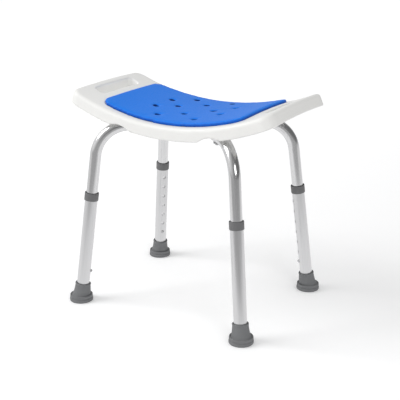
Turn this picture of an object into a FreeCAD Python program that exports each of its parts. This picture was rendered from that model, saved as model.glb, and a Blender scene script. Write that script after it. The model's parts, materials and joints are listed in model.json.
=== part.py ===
import FreeCAD, Part
import math
import os
import re
import Sketcher

# Height-adjustable shower stool. A curved plastic seat with a foam pad and two handle slots
# stands on four splayed tube legs. Each leg is a bent upper tube that slides in a lower tube,
# and a spring button in a row of holes sets its height.
# World frame: X along the seat's length, Y along its width, Z up. The origin is on the floor,
# under the seat's centre. The legs are drawn at their lowest setting.

SIZES = {
    # seat shell, measured on its top skin
    "seat_height": 437.0,         # floor to the top of the shell at its centre
    "seat_bend": 582.0,           # radius of the sag along the length
    "seat_crown": 2270.0,         # radius of the crown across the width
    "seat_sweep": 24.7,           # half of the angle that the sag covers, in degrees
    "seat_half_width": 138.0,
    "seat_side_bow": 5000.0,      # plan radius of the long sides
    "seat_corner": 26.0,
    "seat_depth": 29.0,           # skin to the skirt's lower edge
    "seat_skin": 4.5,
    "skirt_wall": 3.6,
    "edge_round": 9.0,
    "skirt_round": 3.0,
    "rib_depth": 17.0,            # skin's top to the ribs' lower edge
    "rib_wall": 2.6,
    "rib_far_cross": 121.5,       # outermost cross rib, from the centre
    "rib_far_long": 106.5,        # outermost long rib, from the centre
    # handle slots, measured along the sagging skin from the centre
    "slot_inner": 203.0,
    "slot_outer": 231.0,
    "slot_half_length": 70.0,
    "slot_corner": 11.0,
    "slot_round": 4.0,
    "slot_wall": 3.0,
    # finger scallops in the skirt's lower edge
    "scallop_place": 121.0,
    "scallop_width": 50.0,
    "scallop_depth": 6.0,
    # foam pad
    "pad_half_length": 178.5,
    "pad_half_width": 121.0,
    "pad_side_bow": 1720.0,
    "pad_corner": 24.0,
    "pad_stand": 7.6,             # height of the pad above the skin
    "pad_recess": 1.5,
    "pad_gap": 0.6,
    "pad_round": 2.4,
    # drain holes: two middle ones, three to a side row and two to an end row
    "drain_near": 46.5,
    "drain_far": 83.5,
    "drain_middle_half": 47.4,
    "drain_side_half": 82.5,
    "drain_end_half": 34.0,
    "pad_hole": 12.0,
    "skin_hole": 10.0,
    # leg layout
    "leg_azimuth": 38.0,          # legs from the length axis, in degrees
    "leg_splay": 7.3,             # legs from upright, in degrees
    "foot_radius": 268.6,         # leg axis on the floor, from the centre
    "run_clear": 11.3,            # top of the shell at its centre to the tubes' level run
    "run_end": 32.0,              # inner end of the level run, from the centre
    "leg_bend": 76.0,
    # tubes
    "inner_tube": 25.4,
    "inner_wall": 1.25,
    "outer_wall": 1.3,
    "inner_tail": 22.0,           # button axis to the upper tube's lower end
    "foot_seat": 8.0,             # floor to the lower tube's end, along the leg
    # height holes
    "hole_pitch": 25.4,
    "hole_count": 7,
    "hole_first": 73.0,           # floor to the lowest hole, along the leg
    "height_hole": 8.0,
    "hole_margin": 37.1,          # highest hole to the collar's top
    # collar
    "collar_height": 18.0,
    "collar_wall": 1.7,
    "collar_lip": 3.0,
    "collar_round": 1.2,
    # rubber foot
    "foot_flange_step": 6.55,     # boot's waist to the flange's rim
    "foot_flange_height": 15.0,
    "foot_groove": 2.2,
    "foot_height": 43.0,
    "boot_wall_top": 3.0,
    "boot_wall_waist": 5.95,
    "foot_hollow": 33.0,
    "foot_hollow_depth": 1.6,
    "foot_washer_thick": 1.5,
    # snap button and its leaf spring
    "button_diameter": 7.0,
    "button_stand": 3.6,          # beyond the lower tube
    "button_head": 9.4,
    "button_head_thick": 1.3,
    "spring_thick": 0.7,
    "spring_width": 9.0,
    "spring_rise": 44.0,
    "spring_bend": 6.0,
    "spring_tail": 7.0,
    # leg screws
    "screw_inner": 62.0,          # from the centre, along the run
    "screw_outer": 128.0,
    "screw_thread": 6.0,
    "screw_length": 33.0,
    "screw_head": 11.5,
    "screw_head_height": 3.6,
    "screw_socket": 4.0,
    "screw_hole": 6.6,
    "washer_diameter": 17.0,
    "washer_thick": 1.8,
    "insert_diameter": 9.0,
    "insert_length": 7.4,
    "saddle_length": 34.0,
    "saddle_width": 36.0,
    # end plug
    "plug_cap": 2.4,
    "plug_stem": 12.0,
    # clearances
    "slide_gap": 0.3,             # between pieces that move past each other
    "fit_gap": 0.1,               # between pieces that are pushed together
    "channel_gap": 0.3,           # upper tube in its channel
}

# sizes that follow from the ones above, so that what fits together stays together
FOLLOWING = {
    "run_height": "(seat_height - run_clear - inner_tube / 2)",
    "outer_tube": "(inner_tube + 2 * slide_gap + 2 * outer_wall)",
    "collar_top": "(hole_first + hole_pitch * (hole_count - 1) + hole_margin)",
    "collar_diameter": "(outer_tube + 2 * collar_wall)",
    "foot_top": "(outer_tube + 2 * boot_wall_top)",
    "foot_waist": "(outer_tube + 2 * boot_wall_waist)",
    "foot_flange": "(foot_waist + 2 * foot_flange_step)",
    "foot_washer": "(outer_tube - 2 * outer_wall)",
}

doc = FreeCAD.newDocument("shower_stool")
sheet = doc.addObject("Spreadsheet::Sheet", "Sizes")
for row, (alias, size) in enumerate(SIZES.items(), start=1):
    sheet.set("A%d" % row, alias)
    sheet.set("B%d" % row, str(size))
    sheet.setAlias("B%d" % row, alias)
doc.recompute()

X = FreeCAD.Vector(1, 0, 0)
Y = FreeCAD.Vector(0, 1, 0)
Z = FreeCAD.Vector(0, 0, 1)


def written_out(expression):
    """The same expression with each following size replaced by what it follows from."""
    while any(word in FOLLOWING for word in re.findall(r"[a-z_]+", expression)):
        expression = re.sub(r"[a-z_]+", lambda word: FOLLOWING.get(word[0], word[0]), expression)
    return expression


def size(expression):
    """Value of an expression over the sheet, such as "seat_depth + 1"."""
    value = sheet.evalExpression(written_out(expression))
    return float(getattr(value, "Value", value))


def on_sheet(expression):
    """The same expression, written for an object outside the sheet."""
    def placed(word):
        return "Sizes." + word[0] if word[0] in SIZES else word[0]

    return re.sub(r"[a-z_]+", placed, written_out(expression))


def tie(target, **properties):
    """Bind properties of an object to expressions over the sheet."""
    for name, expression in properties.items():
        target.setExpression(name, on_sheet(expression))


# ---------------------------------------------------------------- sketches

def new_body(name):
    return doc.addObject("PartDesign::Body", name)


def new_sketch(body, name, plane, offset="0"):
    """Sketch on one of the body's origin planes, moved along the plane's normal."""
    sketch = body.newObject("Sketcher::SketchObject", name)
    for feature in body.Origin.OriginFeatures:
        if feature.Role == plane:
            sketch.AttachmentSupport = [(feature, "")]
    sketch.MapMode = "FlatFace"
    if offset != "0":
        sketch.setExpression("AttachmentOffset.Base.z", on_sheet(offset))
    return sketch


def drive(sketch, kind, references, expression):
    """Add one driving dimension to a sketch and tie it to the sheet."""
    index = sketch.addConstraint(Sketcher.Constraint(kind, *references, size(expression)))
    name = "dim_%d" % index
    sketch.renameConstraint(index, name)
    sketch.setExpression("Constraints." + name, on_sheet(expression))


def pin_point(sketch, geometry, position, across, up):
    """Fix a point of a sketch by its two distances from the sketch's origin."""
    for kind, axis, expression in (("DistanceX", -2, across), ("DistanceY", -1, up)):
        if expression == "0":
            sketch.addConstraint(Sketcher.Constraint("PointOnObject", geometry, position, axis))
        else:
            drive(sketch, kind, (-1, 1, geometry, position), expression)


def polygon(sketch, corners):
    """Closed outline of straight lines through corners given as pairs of expressions."""
    points = [FreeCAD.Vector(size(across), size(up), 0) for across, up in corners]
    first = sketch.GeometryCount
    count = len(points)
    for index in range(count):
        sketch.addGeometry(Part.LineSegment(points[index], points[(index + 1) % count]), False)
    for index in range(count):
        following = first + (index + 1) % count
        sketch.addConstraint(Sketcher.Constraint("Coincident", first + index, 2, following, 1))
    for index, (across, up) in enumerate(corners):
        pin_point(sketch, first + index, 1, across, up)


def circle(sketch, across, up, diameter):
    centre = FreeCAD.Vector(size(across), size(up), 0)
    index = sketch.addGeometry(Part.Circle(centre, Z, size(diameter) / 2), False)
    pin_point(sketch, index, 3, across, up)
    drive(sketch, "Diameter", (index,), diameter)


def axis_line(sketch, start, end):
    """Construction line to revolve about, between two points given as expressions."""
    ends = [FreeCAD.Vector(size(across), size(up), 0) for across, up in (start, end)]
    index = sketch.addGeometry(Part.LineSegment(*ends), True)
    pin_point(sketch, index, 1, *start)
    pin_point(sketch, index, 2, *end)


def arc_between(sketch, half, level, radius, flip):
    """Arc over the sketch's vertical axis: its crown is at level, and it ends at +-half.

    Returns the arc's index. flip is 1 for a crown that points up, -1 for one that points down.
    """
    turn = math.asin(size(half) / size(radius))
    middle = math.pi / 2 * flip
    centre_level = "%s - (%s)" % (level, radius) if flip > 0 else "%s + %s" % (level, radius)
    centre = FreeCAD.Vector(0, size(centre_level), 0)
    full = Part.Circle(centre, Z, size(radius))
    index = sketch.addGeometry(Part.ArcOfCircle(full, middle - turn, middle + turn), False)
    sketch.addConstraint(Sketcher.Constraint("PointOnObject", index, 3, -2))
    drive(sketch, "DistanceY", (-1, 1, index, 3), centre_level)
    drive(sketch, "Radius", (index,), radius)
    sketch.addConstraint(Sketcher.Constraint("Symmetric", index, 1, index, 2, -2))
    right = 1 if flip > 0 else 2
    drive(sketch, "DistanceX", (-1, 1, index, right), half)
    return index


# ---------------------------------------------------------------- features

def pad_sketch(body, name, sketch, length, both_ways=False):
    pad = body.newObject("PartDesign::Pad", name)
    pad.Profile = sketch
    tie(pad, Length=length)
    if both_ways:
        pad.SideType = "Symmetric"
    doc.recompute()
    return pad


def cut_sketch(body, name, sketch, both_ways=True, length=None, reverse=False):
    """Pocket through everything, or to a length, checked by the volume that it takes away."""
    before = body.Shape.Volume
    pocket = body.newObject("PartDesign::Pocket", name)
    pocket.Profile = sketch
    pocket.Reversed = reverse
    if both_ways:
        pocket.SideType = "Symmetric"
    if length is None:
        pocket.Type = "ThroughAll"
    else:
        tie(pocket, Length=length)
    doc.recompute()
    if not pocket.Shape.Volume < before - 1e-3:
        raise RuntimeError(name + " cut nothing")
    return pocket


def revolve(body, name, sketch, axis="V_Axis", angle="360", both_ways=False, kind="Revolution"):
    feature = body.newObject("PartDesign::" + kind, name)
    feature.Profile = sketch
    feature.ReferenceAxis = (sketch, [axis])
    feature.Midplane = both_ways
    tie(feature, Angle=angle)
    doc.recompute()
    return feature


def round_edges(body, name, base, chosen, radius, kind="Fillet"):
    """Fillet the edges of a feature for which chosen(edge) is true."""
    names = []
    for index, edge in enumerate(base.Shape.Edges, start=1):
        if chosen(edge):
            names.append("Edge%d" % index)
    if not names:
        raise RuntimeError(name + " found no edge")
    feature = body.newObject("PartDesign::" + kind, name)
    feature.Base = (base, names)
    tie(feature, **{"Radius" if kind == "Fillet" else "Size": radius})
    doc.recompute()
    return feature


def face_at(shape, point):
    """The face of a shape that a point lies on."""
    probe = Part.Vertex(point)
    return min(shape.Faces, key=lambda face: face.distToShape(probe)[0])


def edges_of(face):
    return lambda edge: any(edge.isSame(other) for other in face.Edges)


def fuse(name, pieces):
    joined = doc.addObject("Part::MultiFuse", name)
    joined.Shapes = pieces
    return joined


def cut(name, base, tool):
    remainder = doc.addObject("Part::Cut", name)
    remainder.Base = base
    remainder.Tool = tool
    return remainder


def cylinder(name, radius, length, placement):
    solid = doc.addObject("Part::Cylinder", name)
    tie(solid, Radius=radius, Height=length)
    solid.Placement = placement
    return solid


def box(name, long, wide, high, placement):
    """Box whose base is centred on the placement's origin."""
    solid = doc.addObject("Part::Box", name)
    tie(solid, Length=long, Width=wide, Height=high)
    centre = FreeCAD.Vector(-size(long) / 2, -size(wide) / 2, 0)
    solid.Placement = placement.multiply(FreeCAD.Placement(centre, FreeCAD.Rotation()))
    return solid


def move(vector, axis=Z, angle=0.0):
    return FreeCAD.Placement(vector, FreeCAD.Rotation(axis, angle))


parts = {}


def deliver(solid, node):
    solid.Label = node
    parts[node] = solid


# ---------------------------------------------------------------- where the legs stand

LEGS = {
    "front_left": 180 + size("leg_azimuth"),
    "rear_left": 180 - size("leg_azimuth"),
    "front_right": -size("leg_azimuth"),
    "rear_right": size("leg_azimuth"),
}


def leg_plane(azimuth):
    """Frame of a leg's upright plane: X outward from the stool's centre, Z up."""
    return move(FreeCAD.Vector(), Z, azimuth)


def leg_axis(azimuth):
    """Frame on a leg's own axis: origin on the floor, Z up the leg."""
    foot = move(FreeCAD.Vector(size("foot_radius"), 0, 0), Y, -size("leg_splay"))
    return leg_plane(azimuth).multiply(foot)


def drain_places():
    """Centres of the drain holes, as pairs of expressions, the same on each side of both axes."""
    places = [("0", "drain_middle_half"), ("0", "-drain_middle_half")]
    for side in ("", "-"):
        places.append((side + "drain_near", "0"))
        for across in ("", "-"):
            places.append((side + "drain_near", across + "drain_side_half"))
            places.append((side + "drain_far", across + "drain_end_half"))
    return places


# ---------------------------------------------------------------- sagging slabs

def saddle_slab(name, top, bottom, half_width, side_bow, half_sweep, corner):
    """Slab between two depths below the skin, sagging along X and crowned along Y."""
    body = new_body(name)
    section = new_sketch(body, name + "_section", "YZ_Plane")
    upper = arc_between(section, half_width, "seat_height - (%s)" % top, "seat_crown", 1)
    lower = arc_between(section, half_width, "seat_height - (%s)" % bottom, "seat_crown", 1)
    for end in (1, 2):
        start = section.getPoint(upper, end)
        finish = section.getPoint(lower, end)
        side = section.addGeometry(Part.LineSegment(start, finish), False)
        section.addConstraint(Sketcher.Constraint("Coincident", side, 1, upper, end))
        section.addConstraint(Sketcher.Constraint("Coincident", side, 2, lower, end))
    level = "seat_height + seat_bend"
    axis_line(section, ("-" + half_width, level), (half_width, level))
    slab = revolve(body, name + "_sag", section, "Axis0", "2 * (%s)" % half_sweep, True)

    plan = new_sketch(body, name + "_plan", "XY_Plane")
    reach = "(seat_bend + seat_depth) * 0.7"
    polygon(plan, [("-" + reach, "-" + reach), (reach, "-" + reach), (reach, reach), ("-" + reach, reach)])
    rear = arc_between(plan, reach + " * 0.9", half_width, side_bow, 1)
    front = arc_between(plan, reach + " * 0.9", "-(%s)" % half_width, side_bow, -1)
    for rear_end, front_end in ((1, 2), (2, 1)):
        start = plan.getPoint(rear, rear_end)
        finish = plan.getPoint(front, front_end)
        end = plan.addGeometry(Part.LineSegment(start, finish), False)
        plan.addConstraint(Sketcher.Constraint("Coincident", end, 1, rear, rear_end))
        plan.addConstraint(Sketcher.Constraint("Coincident", end, 2, front, front_end))
    slab = cut_sketch(body, name + "_sides", plan)

    depth = size("(%s) - (%s)" % (bottom, top))

    def at_corner(edge):
        low, high = edge.Vertexes[0].Point, edge.Vertexes[-1].Point
        return abs(low.x) > 50 and abs(abs(high.z - low.z) - depth) < depth * 0.2 and abs(high.y - low.y) < 2

    slab = round_edges(body, name + "_corners", slab, at_corner, corner)
    return body, slab


def skin_point(depth, across=0.0):
    """A point on the slab's centre line, at a depth below the skin."""
    turn = across / size("seat_bend")
    reach = size("seat_bend") + depth
    return FreeCAD.Vector(reach * math.sin(turn), 0, size("seat_height + seat_bend") - reach * math.cos(turn))


def slot_frame(side):
    """Frame at the middle of a handle slot, with Z square to the skin."""
    middle = side * size("(slot_inner + slot_outer) / 2")
    turn = -math.degrees(middle / size("seat_bend"))
    return move(skin_point(0, middle), Y, turn)


def slot_block(name, side, grow):
    """Round-cornered block through the seat, as large as a slot and grown on all sides."""
    body = new_body(name)
    sketch = new_sketch(body, name + "_outline", "XY_Plane")
    half_x = "(slot_outer - slot_inner) / 2 + " + grow
    half_y = "slot_half_length + " + grow
    polygon(sketch, [
        ("-(%s)" % half_x, "-(%s)" % half_y),
        (half_x, "-(%s)" % half_y),
        (half_x, half_y),
        ("-(%s)" % half_x, half_y),
    ])
    block = pad_sketch(body, name + "_block", sketch, "seat_depth * 6", True)

    def upright(edge):
        low, high = edge.Vertexes[0].Point, edge.Vertexes[-1].Point
        return abs(high.z - low.z) > 1

    round_edges(body, name + "_corners", block, upright, "slot_corner + " + grow)
    body.Placement = slot_frame(side)
    return body


# ---------------------------------------------------------------- seat shell

def shell_blank():
    """Outer form of the seat, with its handle slots, scallops and rounded edges."""
    body, slab = saddle_slab(
        "shell_blank", "0", "seat_depth", "seat_half_width", "seat_side_bow", "seat_sweep", "seat_corner")
    for label, side in (("right", 1), ("left", -1)):
        slot = new_sketch(body, "slot_" + label, "XY_Plane")
        half_x = "(slot_outer - slot_inner) / 2"
        polygon(slot, [
            ("-" + half_x, "-slot_half_length"),
            (half_x, "-slot_half_length"),
            (half_x, "slot_half_length"),
            ("-" + half_x, "slot_half_length"),
        ])
        slot.AttachmentOffset = slot_frame(side)
        slab = cut_sketch(body, "slot_cut_" + label, slot)

    def slot_corner(edge):
        low, high = edge.Vertexes[0].Point, edge.Vertexes[-1].Point
        at_end = abs(abs(low.y) - size("slot_half_length")) < 0.01
        return at_end and abs(high.y - low.y) < 0.01 and abs(high.z - low.z) > size("seat_depth") * 0.8

    slab = round_edges(body, "slot_corners", slab, slot_corner, "slot_corner")

    scallops = new_sketch(body, "scallops", "XZ_Plane")
    radius = "((scallop_width / 2) ^ 2 + scallop_depth ^ 2) / (2 * scallop_depth)"
    edge_level = skin_point(size("seat_depth"), size("scallop_place")).z
    drop = edge_level - size("seat_height") - size("seat_half_width ^ 2 / (2 * seat_crown)")
    for sign in ("", "-"):
        circle(scallops, sign + "scallop_place", "seat_height + scallop_depth - (%s) + (%s)" % (radius, drop),
               "2 * (%s)" % radius)
    slab = cut_sketch(body, "scallop_cut", scallops)

    top = face_at(slab.Shape, skin_point(0))
    border = edges_of(top)

    def outer_border(edge):
        return border(edge) and not slot_border(edge)

    def slot_border(edge):
        middle = edge.CenterOfMass
        along = abs(math.atan2(middle.x, size("seat_height + seat_bend") - middle.z)) * size("seat_bend")
        inside = size("slot_inner") - 1 < along < size("slot_outer") + 1
        return border(edge) and inside and abs(middle.y) < size("slot_half_length") + 1

    slab = round_edges(body, "edge_round", slab, outer_border, "edge_round")
    top = face_at(slab.Shape, skin_point(0))
    border = edges_of(top)
    slab = round_edges(body, "slot_round", slab, slot_border, "slot_round")
    walls = [edges_of(face) for face in slab.Shape.Faces if on_outside(face)]
    undersides = [edges_of(face) for face in slab.Shape.Faces if face_level(face) < -0.5]

    def skirt_border(edge):
        return any(border(edge) for border in walls) and any(border(edge) for border in undersides)

    round_edges(body, "skirt_round", slab, skirt_border, "skirt_round")
    return body


def on_outside(face):
    """Whether a face of the seat's blank is one of its upright outer walls."""
    middle = face.CenterOfMass
    outside = abs(middle.x) > size("slot_outer") + 5 or abs(middle.y) > size("seat_half_width") - 5
    return outside and abs(face_level(face)) < 0.6


def face_level(face):
    """Height of the outward normal at a face's middle: 1 looks up and -1 looks down."""
    u_low, u_high, v_low, v_high = face.ParameterRange
    return face.normalAt((u_low + u_high) / 2, (v_low + v_high) / 2).z


def shell_hollow():
    """The space under the skin, less the ribs, the slot walls and the tube saddles."""
    inner_half = "seat_half_width - skirt_wall"
    inner_bow = "seat_side_bow - skirt_wall"
    inner_sweep = "seat_sweep - skirt_wall / seat_bend * 180 / pi"
    inner_corner = "seat_corner - skirt_wall"
    upper, _ = saddle_slab("hollow_ribbed", "seat_skin", "rib_depth",
                           inner_half, inner_bow, inner_sweep, inner_corner)
    lower, _ = saddle_slab("hollow_open", "rib_depth", "seat_depth + 12",
                           inner_half, inner_bow, inner_sweep, inner_corner)
    ribs = []
    span = "seat_half_width * 4"
    tall = "seat_bend / 3"
    across_places = [0.5 * size("drain_near"), size("(drain_near + drain_far) / 2"), size("rib_far_cross")]
    along_places = [0.5 * size("drain_end_half"), size("(drain_middle_half + drain_side_half) / 2"),
                    size("rib_far_long")]
    base = size("seat_height - seat_depth - 10")
    for side in (-1, 1):
        for number, place in enumerate(across_places):
            frame = move(FreeCAD.Vector(side * place, 0, base))
            ribs.append(box("cross_rib_%d_%d" % (number, side + 1), "rib_wall", span, tall, frame))
        for number, place in enumerate(along_places):
            frame = move(FreeCAD.Vector(0, side * place, base))
            ribs.append(box("long_rib_%d_%d" % (number, side + 1), span, "rib_wall", tall, frame))
    webs = cut("hollow_between_ribs", upper, fuse("ribs", ribs))

    kept = []
    for side in (-1, 1):
        kept.append(slot_block("slot_wall_%d" % (side + 1), side, "slot_wall"))
    for leg, azimuth in LEGS.items():
        for place in ("screw_inner", "screw_outer"):
            frame = leg_plane(azimuth).multiply(
                move(FreeCAD.Vector(size(place), 0, size("run_height"))))
            kept.append(box("saddle_%s_%s" % (place, leg), "saddle_length", "saddle_width", tall, frame))
    return cut("seat_hollow", fuse("hollow_halves", [webs, lower]), fuse("kept_walls", kept))


def run_channel(leg, azimuth):
    """Room for one upper tube under the seat: round over its top, open below."""
    clear = "inner_tube / 2 + channel_gap"
    start = leg_plane(azimuth).multiply(move(FreeCAD.Vector(size("run_end") - 6, 0, size("run_height")), Y, 90))
    length = "foot_radius - run_end"
    round_top = cylinder("channel_top_" + leg, clear, length, start)
    middle = size("run_end") - 6 + size(length) / 2
    drop = "seat_depth * 2"
    frame = leg_plane(azimuth).multiply(
        move(FreeCAD.Vector(middle, 0, size("run_height") - size(drop))))
    open_side = box("channel_side_" + leg, length, "2 * (%s)" % clear, drop, frame)
    return fuse("channel_" + leg, [round_top, open_side])


def seat_shell():
    tools = [shell_hollow()]
    recess, _ = saddle_slab(
        "pad_bed", "-pad_stand", "pad_recess", "pad_half_width + pad_gap", "pad_side_bow + pad_gap",
        "(pad_half_length + pad_gap) / seat_bend * 180 / pi", "pad_corner + pad_gap")
    tools.append(recess)
    for number, (across, up) in enumerate(drain_places()):
        frame = move(FreeCAD.Vector(signed(across), signed(up), size("seat_height - seat_depth")))
        tools.append(cylinder("skin_drain_%d" % number, "skin_hole / 2", "seat_depth * 3", frame))
    for leg, azimuth in LEGS.items():
        tools.append(run_channel(leg, azimuth))
        for place in ("screw_inner", "screw_outer"):
            frame = leg_plane(azimuth).multiply(move(FreeCAD.Vector(size(place), 0, size("run_height"))))
            tools.append(cylinder("insert_bore_%s_%s" % (place, leg), "insert_diameter / 2 + fit_gap / 2",
                                  "inner_tube / 2 + channel_gap + insert_length + fit_gap", frame))
    deliver(cut("seat_shell_solid", shell_blank(), fuse("seat_tools", tools)), "seat_shell")


def signed(expression):
    """Value of an expression that may be zero or start with a minus sign."""
    return -size(expression[1:]) if expression.startswith("-") else size(expression)


# ---------------------------------------------------------------- foam pad

def seat_pad():
    body, slab = saddle_slab(
        "seat_pad_body", "-pad_stand", "pad_recess - fit_gap", "pad_half_width", "pad_side_bow",
        "pad_half_length / seat_bend * 180 / pi", "pad_corner")
    holes = new_sketch(body, "pad_holes", "XY_Plane")
    for across, up in drain_places():
        circle(holes, across, up, "pad_hole")
    slab = cut_sketch(body, "pad_hole_cut", holes)
    top = face_at(slab.Shape, skin_point(-size("pad_stand"), 10))
    border = edges_of(top)

    def outer_border(edge):
        return border(edge) and edge.Length > 30

    round_edges(body, "pad_round", slab, outer_border, "pad_round")
    deliver(body, "seat_pad")


# ---------------------------------------------------------------- upper tubes

def upper_tube(leg, azimuth):
    """Bent tube: up the leg, round the bend and level under the seat, with its holes."""
    body = new_body("upper_tube_%s_body" % leg)
    path = new_sketch(body, "tube_path_" + leg, "XZ_Plane")
    splay = math.radians(size("leg_splay"))
    turn = math.pi / 2 - splay
    run = size("run_height")
    knee = size("foot_radius") - math.tan(splay) * run
    tangent = size("leg_bend") * math.tan(turn / 2)
    up_leg = FreeCAD.Vector(-math.sin(splay), math.cos(splay), 0)
    corner = FreeCAD.Vector(knee, run, 0)
    bottom_along = "(hole_first - inner_tail)"
    bottom = FreeCAD.Vector(size("foot_radius"), 0, 0) + up_leg * size(bottom_along)
    arc_start = corner - up_leg * tangent
    arc_end = corner - FreeCAD.Vector(tangent, 0, 0)
    centre = arc_end - FreeCAD.Vector(0, size("leg_bend"), 0)
    bend = Part.Circle(centre, Z, size("leg_bend"))
    leg_line = path.addGeometry(Part.LineSegment(bottom, arc_start), False)
    arc = path.addGeometry(Part.ArcOfCircle(bend, -splay, math.pi / 2), False)
    run_line = path.addGeometry(
        Part.LineSegment(arc_end, FreeCAD.Vector(size("run_end"), run, 0)), False)
    path.addConstraint(Sketcher.Constraint("Tangent", leg_line, 2, arc, 1))
    path.addConstraint(Sketcher.Constraint("Tangent", arc, 2, run_line, 1))
    path.addConstraint(Sketcher.Constraint("Horizontal", run_line))
    drive(path, "Radius", (arc,), "leg_bend")
    pin_point(path, run_line, 2, "run_end", "run_height")
    splay_text = "leg_splay * 1 deg"
    pin_point(path, leg_line, 1, "foot_radius - %s * sin(%s)" % (bottom_along, splay_text),
              "%s * cos(%s)" % (bottom_along, splay_text))
    axis = path.addGeometry(Part.LineSegment(FreeCAD.Vector(size("foot_radius"), 0, 0), bottom), True)
    pin_point(path, axis, 1, "foot_radius", "0")
    path.addConstraint(Sketcher.Constraint("Coincident", axis, 2, leg_line, 1))
    path.addConstraint(Sketcher.Constraint("Parallel", axis, leg_line))

    ring = new_sketch(body, "tube_ring_" + leg, "YZ_Plane", "run_end")
    circle(ring, "0", "run_height", "inner_tube")
    circle(ring, "0", "run_height", "inner_tube - 2 * inner_wall")
    tube = body.newObject("PartDesign::AdditivePipe", "tube_" + leg)
    tube.Profile = ring
    tube.Spine = path
    doc.recompute()

    screws = new_sketch(body, "screw_holes_" + leg, "XY_Plane", "run_height")
    circle(screws, "screw_inner", "0", "screw_hole")
    circle(screws, "screw_outer", "0", "screw_hole")
    cut_sketch(body, "screw_hole_cut_" + leg, screws, True, "inner_tube * 2")

    button = new_sketch(body, "button_hole_" + leg, "YZ_Plane")
    button.AttachmentOffset = button_offset()
    circle(button, "0", "0", "button_diameter + 2 * slide_gap")
    cut_sketch(body, "button_hole_cut_" + leg, button, False, "inner_tube")
    body.Placement = leg_plane(azimuth)
    deliver(body, "upper_tube_" + leg)


def button_offset():
    """Offset from a leg's YZ plane to a plane on the leg's axis at its button, facing inward."""
    place = move(FreeCAD.Vector(size("foot_radius"), 0, 0), Y, -size("leg_splay"))
    place = place.multiply(move(FreeCAD.Vector(0, 0, size("hole_first"))))
    plane = FreeCAD.Placement(FreeCAD.Vector(), FreeCAD.Rotation(Y, Z, X, "ZXY"))
    facing = FreeCAD.Placement(FreeCAD.Vector(), FreeCAD.Rotation(Y, 90))
    return plane.inverse().multiply(place).multiply(facing)


def end_plug(leg, azimuth):
    """Plastic plug in the level run's open end: a cap and a hollow stem."""
    body = new_body("end_plug_%s_body" % leg)
    outline = new_sketch(body, "plug_outline_" + leg, "XZ_Plane")
    stem = "inner_tube / 2 - inner_wall - fit_gap"
    polygon(outline, [
        ("0", "-plug_cap"),
        ("inner_tube / 2 - 1", "-plug_cap"),
        ("inner_tube / 2", "1 - plug_cap"),
        ("inner_tube / 2", "0"),
        (stem, "0"),
        (stem, "plug_stem"),
        (stem + " - 2", "plug_stem"),
        (stem + " - 2", "1"),
        ("0", "1"),
    ])
    revolve(body, "plug_" + leg, outline)
    end = move(FreeCAD.Vector(size("run_end"), 0, size("run_height")), Y, 90)
    body.Placement = leg_plane(azimuth).multiply(end)
    deliver(body, "tube_end_plug_" + leg)


# ---------------------------------------------------------------- leg screws

def screw_frames():
    """Frames under the upper tubes, one for each leg screw, with Z up."""
    frames = {}
    for leg, azimuth in LEGS.items():
        for place in ("screw_inner", "screw_outer"):
            level = size("run_height - inner_tube / 2")
            frames[place + "_" + leg] = leg_plane(azimuth).multiply(
                move(FreeCAD.Vector(size(place), 0, level)))
    return frames


def one_screw(name, frame):
    seat = frame.multiply(move(FreeCAD.Vector(0, 0, -size("washer_thick"))))
    below = seat.multiply(move(FreeCAD.Vector(0, 0, -size("screw_head_height"))))
    shank = cylinder(name + "_shank", "screw_thread / 2", "screw_length", seat)
    head = doc.addObject("Part::Cone", name + "_head")
    tie(head, Radius1="screw_head / 2 - 1.4", Radius2="screw_head / 2", Height="screw_head_height")
    head.Placement = below
    socket = doc.addObject("Part::Prism", name + "_socket")
    socket.Polygon = 6
    tie(socket, Circumradius="screw_socket / 1.732", Height="screw_head_height * 0.6")
    socket.Placement = below
    return cut(name, fuse(name + "_turned", [shank, head]), socket)


def one_washer(name, frame):
    """Round washer with its upper face hollowed to the tube."""
    base = frame.multiply(move(FreeCAD.Vector(0, 0, -size("washer_thick"))))
    disc = cylinder(name + "_disc", "washer_diameter / 2", "washer_thick * 3", base)
    hole = cylinder(name + "_hole", "screw_hole / 2", "washer_thick * 4", base)
    bed_place = frame.multiply(
        move(FreeCAD.Vector(-size("washer_diameter"), 0, size("inner_tube / 2")), Y, 90))
    bed = cylinder(name + "_bed", "inner_tube / 2", "washer_diameter * 2", bed_place)
    over = box(name + "_over", "washer_diameter * 2", "washer_diameter * 2", "washer_thick * 4",
               frame.multiply(move(FreeCAD.Vector(0, 0, size("washer_thick * 0.8")))))
    return cut(name, disc, fuse(name + "_cuts", [hole, bed, over]))


def one_insert(name, frame):
    """Threaded brass insert in a saddle, over the tube."""
    base = frame.multiply(move(FreeCAD.Vector(0, 0, size("inner_tube + channel_gap"))))
    barrel = cylinder(name + "_barrel", "insert_diameter / 2", "insert_length", base)
    thread = cylinder(name + "_thread", "screw_thread / 2 + fit_gap / 2", "insert_length", base)
    return cut(name, barrel, thread)


def fastener_group(node, make):
    """One node that holds the same fastener at every leg screw's place."""
    group = doc.addObject("Part::Compound", node + "_group")
    group.Links = [make("%s_%s" % (node, place), frame) for place, frame in screw_frames().items()]
    deliver(group, node)


# ---------------------------------------------------------------- lower legs

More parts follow.
